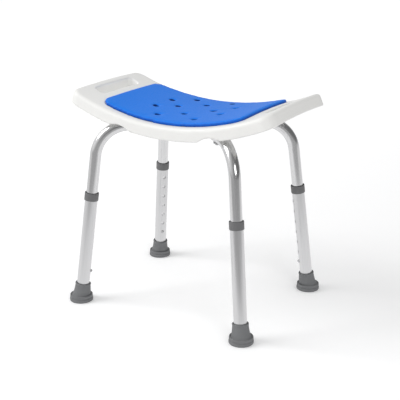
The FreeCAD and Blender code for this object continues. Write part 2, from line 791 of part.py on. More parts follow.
def lower_tube(leg, azimuth):
    body = new_body("lower_tube_%s_body" % leg)
    ring = new_sketch(body, "lower_ring_" + leg, "XY_Plane", "foot_seat")
    circle(ring, "0", "0", "outer_tube")
    circle(ring, "0", "0", "outer_tube - 2 * outer_wall")
    pad_sketch(body, "lower_wall_" + leg, ring, "collar_top - collar_lip - fit_gap - foot_seat")
    hole = new_sketch(body, "height_hole_" + leg, "YZ_Plane")
    circle(hole, "0", "hole_first", "height_hole")
    drilled = cut_sketch(body, "height_hole_cut_" + leg, hole, False, "outer_tube")
    row = body.newObject("PartDesign::LinearPattern", "height_holes_" + leg)
    row.Originals = [drilled]
    row.Direction = (hole, ["V_Axis"])
    tie(row, Length="hole_pitch * (hole_count - 1)", Occurrences="hole_count")
    body.Tip = row
    doc.recompute()
    body.Placement = leg_axis(azimuth)
    deliver(body, "lower_tube_" + leg)


def collar(leg, azimuth):
    """Plastic sleeve on the lower tube's rim, with a lip that guides the upper tube."""
    body = new_body("collar_%s_body" % leg)
    outline = new_sketch(body, "collar_outline_" + leg, "XZ_Plane")
    polygon(outline, [
        ("outer_tube / 2 + fit_gap", "collar_top - collar_height"),
        ("collar_diameter / 2", "collar_top - collar_height"),
        ("collar_diameter / 2", "collar_top"),
        ("inner_tube / 2 + slide_gap", "collar_top"),
        ("inner_tube / 2 + slide_gap", "collar_top - collar_lip"),
        ("outer_tube / 2 + fit_gap", "collar_top - collar_lip"),
    ])
    sleeve = revolve(body, "collar_turned_" + leg, outline)

    def outer_rim(edge):
        round_edge = isinstance(edge.Curve, Part.Circle)
        return round_edge and abs(edge.Curve.Radius - size("collar_diameter / 2")) < 0.01

    round_edges(body, "collar_round_" + leg, sleeve, outer_rim, "collar_round")
    body.Placement = leg_axis(azimuth)
    deliver(body, "leg_collar_" + leg)


def foot_tip(leg, azimuth):
    """Rubber foot: a flat two-tier flange on the floor and a boot on the leg's own slant."""
    body = new_body("foot_flange_%s_body" % leg)
    outline = new_sketch(body, "flange_outline_" + leg, "XZ_Plane")
    rim = "foot_flange / 2"
    half = "foot_flange_height / 2"
    polygon(outline, [
        ("0", "foot_hollow_depth"),
        ("foot_hollow / 2", "foot_hollow_depth"),
        ("foot_hollow / 2", "0"),
        (rim + " - 2", "0"),
        (rim, "2"),
        (rim, half + " - foot_groove / 2"),
        (rim + " - foot_groove", half),
        (rim + " - foot_groove / 3", half + " + foot_groove / 2"),
        (rim + " - foot_groove / 3", "foot_flange_height - 2.4"),
        (rim + " - foot_groove / 3 - 2.4", "foot_flange_height"),
        ("0", "foot_flange_height"),
    ])
    revolve(body, "flange_" + leg, outline)
    slant = move(FreeCAD.Vector(), Y, -size("leg_splay"))
    rise = "(foot_flange_height - 3)"
    boot = doc.addObject("Part::Cone", "boot_" + leg)
    tie(boot, Radius1="foot_waist / 2", Radius2="foot_top / 2", Height="foot_height - " + rise)
    boot.Placement = slant.multiply(move(FreeCAD.Vector(0, 0, size(rise))))
    bead = doc.addObject("Part::Torus", "boot_bead_" + leg)
    tie(bead, Radius1="foot_top / 2 - 0.9", Radius2="1.6")
    bead.Placement = slant.multiply(move(FreeCAD.Vector(0, 0, size("foot_height - 1.6"))))
    socket = cylinder("boot_socket_" + leg, "outer_tube / 2 + fit_gap", "foot_height",
                      slant.multiply(move(FreeCAD.Vector(0, 0, size("foot_seat")))))
    washer = cylinder("washer_bed_" + leg, "foot_washer / 2 + fit_gap", "foot_washer_thick * 2",
                      slant.multiply(move(FreeCAD.Vector(0, 0, size("foot_seat - foot_washer_thick")))))
    tip = cut("foot_%s_solid" % leg, fuse("foot_outside_" + leg, [body, boot, bead]),
              fuse("foot_inside_" + leg, [socket, washer]))
    tip.Placement = leg_plane(azimuth).multiply(move(FreeCAD.Vector(size("foot_radius"), 0, 0)))
    deliver(tip, "foot_tip_" + leg)


def foot_washer(leg, azimuth):
    """Steel disc under the lower tube's end, so that the tube doesn't cut through the rubber."""
    below = leg_axis(azimuth).multiply(move(FreeCAD.Vector(0, 0, size("foot_seat - foot_washer_thick"))))
    disc = cylinder("foot_washer_%s_disc" % leg, "foot_washer / 2", "foot_washer_thick", below)
    deliver(disc, "foot_washer_" + leg)


# ---------------------------------------------------------------- snap buttons

def button_frame(azimuth):
    """Frame at a leg's button, on the leg's axis, with Z pointing inward and out of the hole."""
    place = move(FreeCAD.Vector(0, 0, size("hole_first")), Y, -90)
    return leg_axis(azimuth).multiply(place)


def snap_button(leg, azimuth):
    """Domed button with a head that stays inside the upper tube."""
    body = new_body("snap_button_%s_body" % leg)
    outline = new_sketch(body, "button_outline_" + leg, "XZ_Plane")
    stem = "button_diameter / 2"
    inside = "inner_tube / 2 - inner_wall - slide_gap"
    tip = "outer_tube / 2 + button_stand"
    polygon(outline, [
        ("0", inside + " - button_head_thick"),
        ("button_head / 2", inside + " - button_head_thick"),
        ("button_head / 2", inside + " - 0.7"),
        (stem, inside + " - 0.7"),
        (stem, tip),
        ("0", tip),
    ])
    turned = revolve(body, "button_turned_" + leg, outline)

    def dome(edge):
        return isinstance(edge.Curve, Part.Circle) and abs(edge.CenterOfMass.z - size(tip)) < 0.01

    round_edges(body, "button_dome_" + leg, turned, dome, "button_diameter * 0.4")
    body.Placement = button_frame(azimuth)
    deliver(body, "snap_button_" + leg)


def snap_spring(leg, azimuth):
    """V-shaped leaf inside the upper tube: one leaf under the button, one on the far wall."""
    body = new_body("snap_spring_%s_body" % leg)
    inside = size("inner_tube / 2 - inner_wall")
    front = inside - size("slide_gap + button_head_thick + fit_gap + spring_thick / 2")
    back = -inside + size("slide_gap + spring_thick") + 0.9
    path = new_sketch(body, "spring_path_" + leg, "XZ_Plane")
    radius = size("spring_bend") / 2
    tail = -size("spring_tail")
    top = size("spring_rise") - radius
    centre = FreeCAD.Vector(back + radius, top, 0)
    foot = FreeCAD.Vector(front, tail, 0)
    reach = foot - centre
    lean = math.atan2(reach.y, reach.x) + math.acos(radius / reach.Length)
    touch = centre + FreeCAD.Vector(math.cos(lean), math.sin(lean), 0) * radius
    bend = Part.Circle(centre, Z, radius)
    front_leaf = path.addGeometry(Part.LineSegment(foot, touch), False)
    arc = path.addGeometry(Part.ArcOfCircle(bend, lean, math.pi), False)
    back_leaf = path.addGeometry(
        Part.LineSegment(centre - FreeCAD.Vector(radius, 0, 0), FreeCAD.Vector(back, tail, 0)), False)
    path.addConstraint(Sketcher.Constraint("Tangent", front_leaf, 2, arc, 1))
    path.addConstraint(Sketcher.Constraint("Tangent", arc, 2, back_leaf, 1))
    path.addConstraint(Sketcher.Constraint("Vertical", back_leaf))
    drive(path, "Radius", (arc,), "spring_bend / 2")
    drive(path, "DistanceY", (-1, 1, arc, 3), "spring_rise - spring_bend / 2")
    bore = "(inner_tube / 2 - inner_wall)"
    back_place = "slide_gap + spring_thick + 0.9 - " + bore
    pin_point(path, back_leaf, 2, back_place, "-spring_tail")
    front_place = bore + " - slide_gap - button_head_thick - fit_gap - spring_thick / 2"
    pin_point(path, front_leaf, 1, front_place, "-spring_tail")

    strip = new_sketch(body, "spring_strip_" + leg, "XY_Plane", "-spring_tail")
    half_thick = "spring_thick / 2"
    polygon(strip, [
        (back_place + " - " + half_thick, "-spring_width / 2"),
        (back_place + " + " + half_thick, "-spring_width / 2"),
        (back_place + " + " + half_thick, "spring_width / 2"),
        (back_place + " - " + half_thick, "spring_width / 2"),
    ])
    leaf = body.newObject("PartDesign::AdditivePipe", "spring_leaf_" + leg)
    leaf.Profile = strip
    leaf.Spine = path
    doc.recompute()
    turn = move(FreeCAD.Vector(0, 0, size("hole_first")), Z, 180)
    body.Placement = leg_axis(azimuth).multiply(turn)
    deliver(body, "snap_spring_" + leg)


# ---------------------------------------------------------------- build, check and write

seat_shell()
seat_pad()
fastener_group("leg_screws", one_screw)
fastener_group("screw_washers", one_washer)
fastener_group("threaded_inserts", one_insert)
for leg_name, leg_azimuth in LEGS.items():
    for make_part in (upper_tube, end_plug, lower_tube, collar, foot_tip, foot_washer,
                      snap_button, snap_spring):
        make_part(leg_name, leg_azimuth)
doc.recompute()

for item in doc.Objects:
    if "Invalid" in item.State or "Error" in item.State:
        raise RuntimeError("%s failed: %s" % (item.Name, item.State))
for node, solid in parts.items():
    if solid.Shape.isNull() or not solid.Shape.isValid() or not solid.Shape.Solids:
        raise RuntimeError(node + " has no valid shape")

os.makedirs("parts", exist_ok=True)
for node, solid in parts.items():
    solid.Shape.exportStep("parts/%s.step" % node)
    print("%-28s %d solid(s) %10.1f mm3" % (node, len(solid.Shape.Solids), solid.Shape.Volume))
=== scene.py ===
import json
import math

import bpy
from mathutils import Matrix, Vector


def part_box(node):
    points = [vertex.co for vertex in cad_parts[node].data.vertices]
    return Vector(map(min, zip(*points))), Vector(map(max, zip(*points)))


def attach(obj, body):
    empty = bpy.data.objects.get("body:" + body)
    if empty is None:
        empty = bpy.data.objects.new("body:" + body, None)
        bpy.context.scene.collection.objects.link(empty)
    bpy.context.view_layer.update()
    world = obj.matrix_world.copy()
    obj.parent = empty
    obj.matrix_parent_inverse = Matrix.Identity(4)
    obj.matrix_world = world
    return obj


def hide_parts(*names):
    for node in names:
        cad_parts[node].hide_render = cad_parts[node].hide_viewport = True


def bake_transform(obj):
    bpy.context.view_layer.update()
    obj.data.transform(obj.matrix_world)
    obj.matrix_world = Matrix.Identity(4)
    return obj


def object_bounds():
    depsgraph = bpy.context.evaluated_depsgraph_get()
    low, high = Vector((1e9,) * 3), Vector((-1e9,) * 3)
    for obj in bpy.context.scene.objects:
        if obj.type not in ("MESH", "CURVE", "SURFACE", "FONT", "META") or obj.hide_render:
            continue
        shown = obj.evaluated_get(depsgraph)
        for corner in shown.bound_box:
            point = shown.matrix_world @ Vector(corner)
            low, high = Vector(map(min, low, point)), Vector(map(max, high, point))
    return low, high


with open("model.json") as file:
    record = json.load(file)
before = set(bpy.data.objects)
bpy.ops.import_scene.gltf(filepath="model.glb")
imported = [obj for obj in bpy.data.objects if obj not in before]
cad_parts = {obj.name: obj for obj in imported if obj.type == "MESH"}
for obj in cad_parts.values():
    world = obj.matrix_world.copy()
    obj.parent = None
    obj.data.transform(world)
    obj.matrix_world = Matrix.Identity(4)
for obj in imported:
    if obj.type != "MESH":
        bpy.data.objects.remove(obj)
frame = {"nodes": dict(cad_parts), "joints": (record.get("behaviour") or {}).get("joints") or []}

bl_info = {
    "name": "Shower stool",
    "version": (1, 0, 0),
    "blender": (4, 5, 0),
    "location": "View3D > Sidebar > Stool",
    "description": "Finishes a shower stool with a moulded seat, a foam pad and adjustable legs",
    "category": "Object",
}

MM = 0.001
LEGS = ("front_left", "rear_left", "front_right", "rear_right")
JOINTS = {joint["name"]: joint for joint in frame["joints"]}
CAD_BOX = [list(corner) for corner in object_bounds()]
FLOOR_LEVEL = CAD_BOX[0][2]

# Profiles in millimetres. The boot's and the collar's run along the leg, and the flange's is upright.
BOOT_PROFILE = (
    (6.5, 0.4), (6.5, 13.1), (8.0, 13.1), (8.0, 14.4), (38.0, 14.4), (41.6, 15.0),
    (42.9, 15.9), (43.0, 16.7), (42.7, 17.4), (41.8, 17.9), (40.2, 18.0),
    (38.6, 17.6), (37.8, 17.5), (30.0, 18.3), (23.0, 19.2), (19.6, 19.9))
BOOT_FOOT = (Vector((-1.5, 0, 17.0)), 20.4)
BOOT_FOOT_LEAN = 0.55             # share of the leg's splay
FLANGE_PROFILE = (
    (14.3, 21.0), (13.6, 21.8), (13.5, 22.6), (14.1, 23.2), (14.8, 23.7),
    (15.0, 24.3), (14.9, 25.1), (14.4, 25.7), (13.4, 26.0), (9.6, 26.2),
    (8.9, 25.9), (8.5, 25.3), (7.7, 25.2), (7.2, 25.8), (6.6, 26.4),
    (5.6, 26.75), (2.0, 26.78), (0.9, 26.5), (0.25, 25.9), (0.0, 25.0),
    (0.0, 17.0), (0.3, 16.6), (1.5, 16.3), (1.5, 12.4), (0.5, 12.0), (0.5, 9.2),
    (1.5, 8.8), (1.5, 5.6), (0.5, 5.2), (0.5, 0.4))
COLLAR_TOP = 262.5
COLLAR_PROFILE = (
    (18.0, 14.42), (18.0, 15.3), (17.7, 15.75), (17.0, 15.95), (1.3, 15.95),
    (0.5, 15.75), (0.05, 15.3), (0.0, 14.9), (0.3, 14.5), (2.4, 14.2),
    (2.6, 13.9), (2.6, 13.05), (3.0, 13.02), (3.0, 14.42))
BEND_STEPS = 20

SMOOTH_ANGLE = math.radians(32)
ROUND_ANGLE = math.radians(40)
FOAM_ANGLE = math.radians(50)
HOLE_SIDES = 40
SWELL_FRAMES = 16
SIDE_MOVE = 0.15 * MM
FLOOR_SIZE = 60
FLOOR_DROP = 0.2 * MM
AIM = Vector((0, 0, 0.3))

# How the floor changes in reflections, and far behind the stool: metres, and a level.
FRONT_WIDTH = 0.22
SIDE_START = 0.95
SIDE_WIDTH = 0.5
SIDE_DARK = 0.35
FAR_START = 0.3
FAR_WIDTH = 2.5
# The room in reflections: from bright at the left to dark at the right.
ROOM_LEFT = (-0.6, 1.0)
ROOM_RIGHT = (0.5, 0.2)


# ---------------------------------------------------------------- sizes, finishes and stage

class StoolSizes(bpy.types.PropertyGroup):
    """Sizes of the pieces that are modelled here, besides those of the frame."""

    foam_voxel: bpy.props.FloatProperty(
        name="Foam mesh size", description="Edge length of the pad's mesh before it is smoothed",
        default=2.8 * MM, min=1.5 * MM, max=6 * MM, unit="LENGTH")
    foam_swell: bpy.props.FloatProperty(
        name="Foam swell", description="Most that the pad's top stands proud of its plain solid",
        default=0.9 * MM, min=0.0, max=5 * MM, unit="LENGTH")
    foam_skin: bpy.props.FloatProperty(
        name="Foam skin", description="How far the pad starts inside its plain solid",
        default=0.35 * MM, min=0.0, max=2 * MM, unit="LENGTH")
    drain_radius: bpy.props.FloatProperty(
        name="Drain hole radius", description="Radius of the pad's drain holes",
        default=6.2 * MM, min=2 * MM, max=12 * MM, unit="LENGTH")
    drain_middle: bpy.props.FloatProperty(
        name="Middle holes", description="Distance of the middle pair from the centre, across the seat",
        default=47.4 * MM, unit="LENGTH")
    drain_side: bpy.props.FloatVectorProperty(
        name="Inner rows", description="Place of the inner rows' outer holes, along and across",
        default=(46.5 * MM, 82.5 * MM), size=2, unit="LENGTH")
    drain_end: bpy.props.FloatVectorProperty(
        name="End rows", description="Place of the end rows' holes, along and across",
        default=(83.5 * MM, 34.0 * MM), size=2, unit="LENGTH")
    sides: bpy.props.IntProperty(
        name="Sides of round pieces", description="Number of sides of tubes, collars and feet",
        default=64, min=16, max=128)
    tube_radius: bpy.props.FloatProperty(
        name="Upper tube radius", description="Outer radius of the bent upper tube",
        default=12.7 * MM, min=8 * MM, max=20 * MM, unit="LENGTH")
    tube_wall: bpy.props.FloatProperty(
        name="Upper tube wall", description="Wall of the bent upper tube",
        default=1.3 * MM, min=0.5 * MM, max=4 * MM, unit="LENGTH")
    bend_radius: bpy.props.FloatProperty(
        name="Bend radius", description="Radius of the upper tube's bend at its centre line",
        default=76 * MM, min=30 * MM, max=150 * MM, unit="LENGTH")


class StoolFinishes(bpy.types.PropertyGroup):
    """Colours and gloss of the stool's surfaces."""

    seat_colour: bpy.props.FloatVectorProperty(
        name="Seat plastic", description="Colour of the moulded seat",
        default=(0.85, 0.847, 0.828), size=3, min=0, max=1, subtype="COLOR")
    pad_colour: bpy.props.FloatVectorProperty(
        name="Pad foam", description="Colour of the foam pad",
        default=(0.003, 0.205, 0.860), size=3, min=0, max=1, subtype="COLOR")
    # Painted shade: a deeper blue for the pad's upright sides, standing in for the shade they get from
    # light above.
    pad_side_shade_colour: bpy.props.FloatVectorProperty(
        name="Pad sides", description="Colour of the foam pad's upright sides",
        default=(0.001, 0.115, 0.600), size=3, min=0, max=1, subtype="COLOR")
    # Painted shade: a dark colour for the drain hole walls, in place of the shade inside the deep
    # holes.
    hole_shade_colour: bpy.props.FloatVectorProperty(
        name="Drain hole walls", description="Colour of the cut foam inside the drain holes",
        default=(0.002, 0.040, 0.230), size=3, min=0, max=1, subtype="COLOR")
    rubber_colour: bpy.props.FloatVectorProperty(
        name="Foot rubber", description="Colour of the feet",
        default=(0.190, 0.194, 0.200), size=3, min=0, max=1, subtype="COLOR")
    trim_colour: bpy.props.FloatVectorProperty(
        name="Grey plastic", description="Colour of the collars and plugs",
        default=(0.158, 0.158, 0.162), size=3, min=0, max=1, subtype="COLOR")
    polished_colour: bpy.props.FloatVectorProperty(
        name="Upper tubes", description="Colour of the polished aluminium",
        default=(0.80, 0.80, 0.81), size=3, min=0, max=1, subtype="COLOR")
    satin_colour: bpy.props.FloatVectorProperty(
        name="Lower tubes", description="Colour of the satin aluminium",
        default=(0.75, 0.75, 0.76), size=3, min=0, max=1, subtype="COLOR")


class StoolStage(bpy.types.PropertyGroup):
    """The floor, the light and the camera."""

    floor_colour: bpy.props.FloatVectorProperty(
        name="Floor", description="Colour of the floor",
        default=(0.955, 0.957, 0.962), size=3, min=0, max=1, subtype="COLOR")
    floor_lift: bpy.props.FloatProperty(
        name="Floor lift", description="Light added to the floor where the camera sees it",
        default=0.14, min=0, max=1)
    floor_far_lift: bpy.props.FloatProperty(
        name="Far floor lift", description="Light added to the floor well behind the stool",
        default=0.42, min=0, max=1)
    floor_gloss: bpy.props.FloatProperty(
        name="Floor in gloss", description="Brightness of the floor in reflections",
        default=0.93, min=0, max=2)
    floor_shadow: bpy.props.FloatProperty(
        name="Dark floor in gloss", description="Brightness of the dark floor in reflections",
        default=0.42, min=0, max=2)
    floor_front: bpy.props.FloatProperty(
        name="Pale floor's reach", description="Distance in front at which reflections turn dark",
        default=0.58, min=0, max=10, unit="LENGTH")
    sky_level: bpy.props.FloatProperty(
        name="Room light", description="Strength of the even light from all round",
        default=0.62, min=0, max=2)
    key_power: bpy.props.FloatProperty(
        name="Main lamp", description="Power of the large soft lamp at the left",
        default=46.0, min=0, max=500, unit="POWER")
    fill_power: bpy.props.FloatProperty(
        name="Fill lamp", description="Power of the soft lamp at the front right",
        default=15.0, min=0, max=500, unit="POWER")
    azimuth: bpy.props.FloatProperty(
        name="View direction", description="Turn of the camera about the stool, from its front",
        default=math.radians(31.135), subtype="ANGLE")
    elevation: bpy.props.FloatProperty(
        name="View height", description="Angle of the camera above the floor",
        default=math.radians(18.375), subtype="ANGLE")
    lens: bpy.props.FloatProperty(
        name="Lens", description="Focal length of the camera in millimetres",
        default=84.49, min=10, max=300)
    camera_place: bpy.props.FloatVectorProperty(
        name="Camera place", description="Where the camera stands",
        default=(1.05999, -1.73726, 0.90853), size=3, subtype="TRANSLATION", unit="LENGTH")


# ---------------------------------------------------------------- modelling

def nothing_selected():
    bpy.ops.object.select_all(action="DESELECT")


def only(piece):
    nothing_selected()
    piece.select_set(True)
    bpy.context.view_layer.objects.active = piece


def edit(piece):
    only(piece)
    bpy.ops.object.mode_set(mode="EDIT")
    bpy.ops.mesh.select_mode(type="VERT")
    bpy.ops.mesh.select_all(action="SELECT")


def done():
    bpy.ops.object.mode_set(mode="OBJECT")


def add_modifier(piece, kind, **settings):
    """Adds a modifier with its settings, and applies it."""
    only(piece)
    modifier = piece.modifiers.new(kind.title(), kind)
    for name, value in settings.items():
        setattr(modifier, name, value)
    bpy.ops.object.modifier_apply(modifier=modifier.name)


def smooth(piece, angle=SMOOTH_ANGLE):
    only(piece)
    bpy.ops.object.shade_smooth_by_angle(angle=angle)


def lofted(name, rings, sides, hollow=False):
    """A body of round sections, each extruded from the last.

    A ring is its centre, its radius and its lean about the Y axis. A hollow body joins its last
    ring to its first, and any other body is filled at both ends.
    """
    centre, radius, lean = rings[0]
    nothing_selected()
    bpy.ops.mesh.primitive_circle_add(vertices=sides, radius=radius, location=(0, 0, 0))
    piece = bpy.context.object
    piece.name = name
    bpy.ops.object.mode_set(mode="EDIT")
    bpy.ops.mesh.select_mode(type="EDGE")
    bpy.ops.mesh.select_all(action="SELECT")
    bpy.ops.transform.rotate(value=-lean, orient_axis="Y", center_override=(0, 0, 0))
    bpy.ops.transform.translate(value=centre)
    for last, ring in zip(rings, rings[1:]):
        centre, radius, lean = ring
        bpy.ops.mesh.extrude_edges_move(TRANSFORM_OT_translate={"value": centre - last[0]})
        share = radius / last[1]
        bpy.ops.transform.resize(value=(share, share, share), center_override=centre)
        bpy.ops.transform.rotate(value=last[2] - lean, orient_axis="Y", center_override=centre)
    bpy.ops.mesh.select_all(action="DESELECT")
    bpy.ops.mesh.select_non_manifold()
    if hollow:
        bpy.ops.mesh.bridge_edge_loops()
    else:
        bpy.ops.mesh.select_all(action="SELECT")
        bpy.ops.mesh.fill_holes(sides=0)
    bpy.ops.mesh.select_all(action="SELECT")
    bpy.ops.mesh.normals_make_consistent(inside=False)
    done()
    return piece


def copied(node, name):
    """Copy of a node's plain solid, free of the frame."""
    solid = frame["nodes"][node]
    piece = solid.copy()
    piece.data = solid.data.copy()
    piece.parent = None
    for key in list(piece.keys()):
        del piece[key]
    piece.name = name
    bpy.context.collection.objects.link(piece)
    return piece


def leg_turn(leg):
    """Azimuth of a leg's plane and its splay, from the way that the leg slides."""
    down = Vector(JOINTS["leg_slide_" + leg]["axis"])
    return math.atan2(down.y, down.x), math.atan2(math.hypot(down.x, down.y), -down.z)


def leg_place(leg):
    """Frame of a leg: on the floor under its foot, with X outward and Z up."""
    low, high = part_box("foot_tip_" + leg)
    foot = Vector(((low.x + high.x) / 2, (low.y + high.y) / 2, FLOOR_LEVEL))
    return Matrix.Translation(foot) @ Matrix.Rotation(leg_turn(leg)[0], 4, "Z")


def along_leg(distance, splay):
    """Point on the leg's slanted axis, in the leg's frame."""
    return Vector((-math.sin(splay) * distance, 0, math.cos(splay) * distance))


def put_on_legs(pattern, stem, body, finish_for):
    """Copies a piece to the four legs, where it stands for the CAD nodes that start with stem."""
    for leg in LEGS:
        piece = pattern.copy()
        piece.data = pattern.data.copy()
        piece.name = "made_" + stem + leg
        bpy.context.collection.objects.link(piece)
        piece.matrix_world = leg_place(leg)
        only(piece)
        bpy.ops.object.transform_apply(location=True, rotation=True, scale=True)
        paint(piece, finish_for(leg))
        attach(piece, body + leg if body.endswith("_") else body)
        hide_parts(stem + leg)
    bpy.data.objects.remove(pattern)


# ---------------------------------------------------------------- finishes

def paint(piece, material):
    piece.data.materials.clear()
    piece.data.materials.append(material)


def paint_node(node, material):
    piece = frame["nodes"][node]
    for index in range(max(1, len(piece.material_slots))):
        if index < len(piece.material_slots):
            piece.material_slots[index].material = material
        else:
            piece.data.materials.append(material)


class Finish:
    """A material under construction: a shader and the noises that vary it."""

    def __init__(self, name, colour, roughness, **settings):
        self.material = bpy.data.materials.new(name)
        self.material.use_nodes = True
        self.nodes = self.material.node_tree.nodes
        self.links = self.material.node_tree.links
        self.shader = self.nodes["Principled BSDF"]
        self.colour = tuple(colour) + (1.0,)
        self.shader.inputs["Base Color"].default_value = self.colour
        self.shader.inputs["Roughness"].default_value = roughness
        for name, value in settings.items():
            self.shader.inputs[name].default_value = value
        around = self.nodes.new("ShaderNodeTexCoord")
        self.place = around.outputs["Object"]
        self.facing = around.outputs["Normal"]
        self.bump = None

    def turned(self, turn, stretch):
        """Turns and stretches the patterns that follow."""
        mapping = self.nodes.new("ShaderNodeMapping")
        mapping.inputs["Rotation"].default_value = turn
        self.links.new(self.place, mapping.inputs["Vector"])
        scaling = self.nodes.new("ShaderNodeMapping")
        scaling.inputs["Scale"].default_value = stretch
        self.links.new(mapping.outputs["Vector"], scaling.inputs["Vector"])
        self.place = scaling.outputs["Vector"]
        return self

    def noise(self, scale, detail=3.0, roughness=0.55):
        node = self.nodes.new("ShaderNodeTexNoise")
        node.inputs["Scale"].default_value = scale
        node.inputs["Detail"].default_value = detail
        node.inputs["Roughness"].default_value = roughness
        self.links.new(self.place, node.inputs["Vector"])
        return node.outputs["Fac"]

    def spread(self, value, low, high, start=0.3, end=0.7):
        node = self.nodes.new("ShaderNodeMapRange")
        node.inputs["From Min"].default_value = start
        node.inputs["From Max"].default_value = end
        node.inputs["To Min"].default_value = low
        node.inputs["To Max"].default_value = high
        self.links.new(value, node.inputs["Value"])
        return node.outputs["Result"]

    def shade(self, scale, share, detail=3.0, start=0.3, end=0.7):
        """Lets the colour wander down to a share of itself."""
        mix = self.nodes.new("ShaderNodeMix")
        mix.data_type = "RGBA"
        before = self.shader.inputs["Base Color"]
        if before.links:
            self.links.new(before.links[0].from_socket, mix.inputs["B"])
        else:
            mix.inputs["B"].default_value = self.colour
        mix.inputs["A"].default_value = tuple(c * share for c in self.colour[:3]) + (1.0,)
        level = self.spread(self.noise(scale, detail), 0.0, 1.0, start, end)
        self.links.new(level, mix.inputs["Factor"])
        self.links.new(mix.outputs["Result"], before)
        return self

    def blend(self, level, colour):
        """Changes to another colour by a level."""
        mix = self.nodes.new("ShaderNodeMix")
        mix.data_type = "RGBA"
        before = self.shader.inputs["Base Color"]
        self.links.new(before.links[0].from_socket, mix.inputs["A"])
        mix.inputs["B"].default_value = tuple(colour) + (1.0,)
        self.links.new(level, mix.inputs["Factor"])
        self.links.new(mix.outputs["Result"], before)
        return self

    def gloss(self, scale, low, high, detail=3.0):
        """Lets the roughness wander between two values."""
        value = self.spread(self.noise(scale, detail), low, high)
        self.links.new(value, self.shader.inputs["Roughness"])
        return self

    def relief(self, scale, height, detail=3.0):
        """Adds a fine relief of that height in metres."""
        node = self.nodes.new("ShaderNodeBump")
        node.inputs["Strength"].default_value = 1.0
        node.inputs["Distance"].default_value = height
        self.links.new(self.noise(scale, detail), node.inputs["Height"])
        if self.bump:
            self.links.new(self.bump.outputs["Normal"], node.inputs["Normal"])
        self.links.new(node.outputs["Normal"], self.shader.inputs["Normal"])
        self.bump = node
        return self


def tube_finish(name, leg, colour, low, high, share):
    """Drawn aluminium, with fine lines along the leg: its colour is streaked along the leg, partly as
    the drawn lines and partly as painted dark streak reflections.
    """
    azimuth, splay = leg_turn(leg)
    finish = Finish(name + "_" + leg, colour, low, Metallic=1.0)
    finish.turned((0, 0, -azimuth), (1, 1, 1)).turned((0, splay, 0), (1, 1, 0.018))
    # The colour streaks along the leg are partly drawn lines and partly painted dark reflections.
    finish.shade(420, share, 4.0).gloss(260, low, high, 4.0).relief(900, 0.012 * MM, 4.0)
    return finish.material


# ---------------------------------------------------------------- pieces

class STOOL_OT_seat(bpy.types.Operator):
    """Gives the moulded seat shell its satin, finely grained plastic"""

    bl_idname = "stool.seat"
    bl_label = "Seat shell"

    def execute(self, context):
        finishes = context.scene.stool_finishes
        plastic = Finish("seat_plastic", finishes.seat_colour, 0.42)
        plastic.shader.inputs["Specular IOR Level"].default_value = 0.42
        plastic.shade(9, 0.975).shade(70, 0.985).gloss(45, 0.36, 0.50).relief(1500, 0.02 * MM)
        paint_node("seat_shell", plastic.material)
        return {"FINISHED"}


